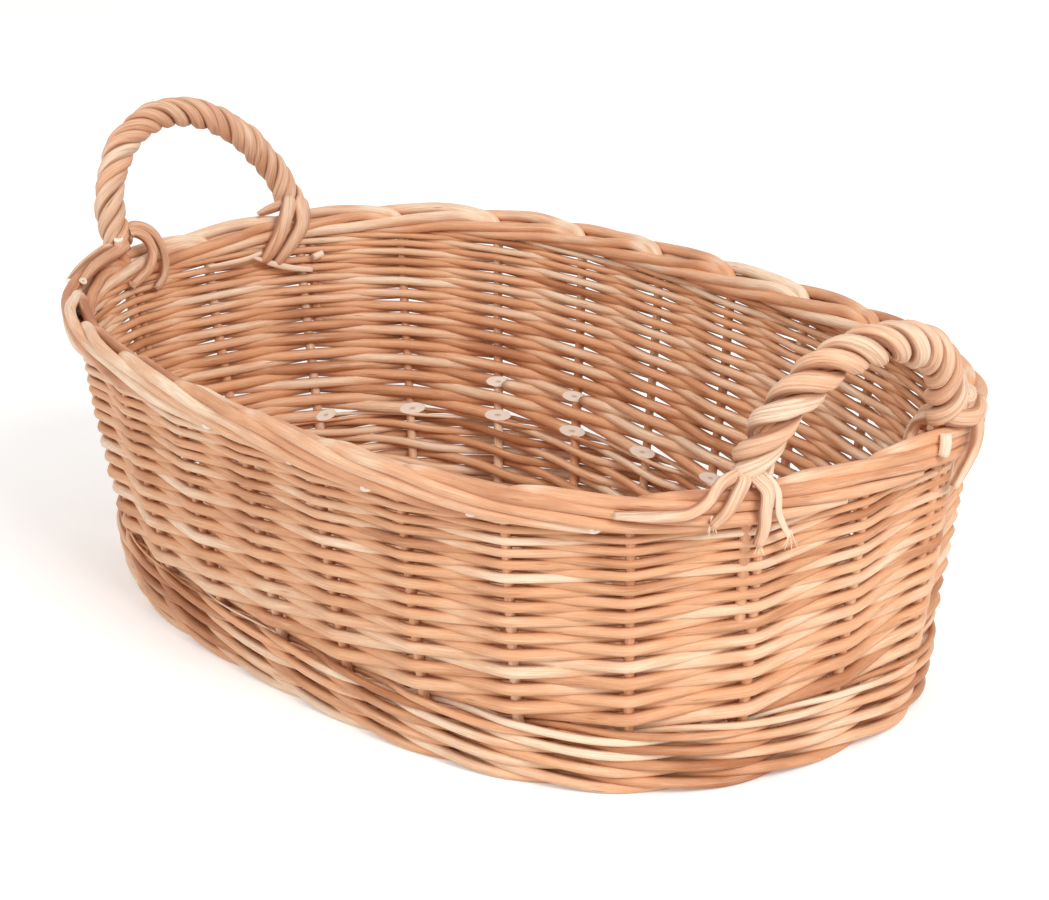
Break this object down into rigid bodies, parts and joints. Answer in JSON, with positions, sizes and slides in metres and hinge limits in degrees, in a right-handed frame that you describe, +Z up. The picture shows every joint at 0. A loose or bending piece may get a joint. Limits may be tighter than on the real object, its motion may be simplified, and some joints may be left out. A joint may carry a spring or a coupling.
{
  "type": "serving basket",
  "caption": "Oval willow serving basket with flared randed walls, a waled foot, a laid-down plain border and twisted arch handles at both ends.",
  "frame": {"origin": "middle of the base's underside, on the surface that the basket stands on", "axes": "+X along the basket towards the right handle in the picture, +Y across it towards the far wall, +Z up"},
  "size_m": [0.4814, 0.2912, 0.1979],
  "materials": {
    "weaving_willow": "semi-matt buff willow, varied from rod to rod",
    "border_willow": "semi-gloss buff willow",
    "handle_willow": "twisted buff willow with pale cracked bark lines",
    "base_willow": "matt buff willow"
  },
  "bodies": {
    "root": {"base_mat": "base_willow", "wale_rod_1": "weaving_willow", "wale_rod_2": "weaving_willow", "wale_rod_3": "weaving_willow", "stake_01": "border_willow", "weaver_01": "weaving_willow", "stake_02": "border_willow", "weaver_02": "weaving_willow", "stake_03": "border_willow", "weaver_03": "weaving_willow", "stake_04": "border_willow", "weaver_04": "weaving_willow", "stake_05": "border_willow", "weaver_05": "weaving_willow", "stake_06": "border_willow", "weaver_06": "weaving_willow", "stake_07": "border_willow", "weaver_07": "weaving_willow", "stake_08": "border_willow", "weaver_08": "weaving_willow", "stake_09": "border_willow", "weaver_09": "weaving_willow", "stake_10": "border_willow", "weaver_10": "weaving_willow", "stake_11": "border_willow", "weaver_11": "weaving_willow", "stake_12": "border_willow", "weaver_12": "weaving_willow", "stake_13": "border_willow", "weaver_13": "weaving_willow", "stake_14": "border_willow", "weaver_14": "weaving_willow", "stake_15": "border_willow", "weaver_15": "weaving_willow", "stake_16": "border_willow", "weaver_16": "weaving_willow", "stake_17": "border_willow", "weaver_17": "weaving_willow", "stake_18": "border_willow", "weaver_18": "weaving_willow", "stake_19": "border_willow", "weaver_19": "weaving_willow", "stake_20": "border_willow", "weaver_20": "weaving_willow", "stake_21": "border_willow", "weaver_21": "weaving_willow", "stake_22": "border_willow", "weaver_22": "weaving_willow", "stake_23": "border_willow", "weaver_23": "weaving_willow", "stake_24": "border_willow", "weaver_24": "weaving_willow", "handle_right_bow": "handle_willow", "handle_right_strand_1": "handle_willow", "handle_right_strand_2": "handle_willow", "handle_right_strand_3": "handle_willow", "handle_left_bow": "handle_willow", "handle_left_strand_1": "handle_willow", "handle_left_strand_2": "handle_willow", "handle_left_strand_3": "handle_willow"}
  },
  "joints": []
}
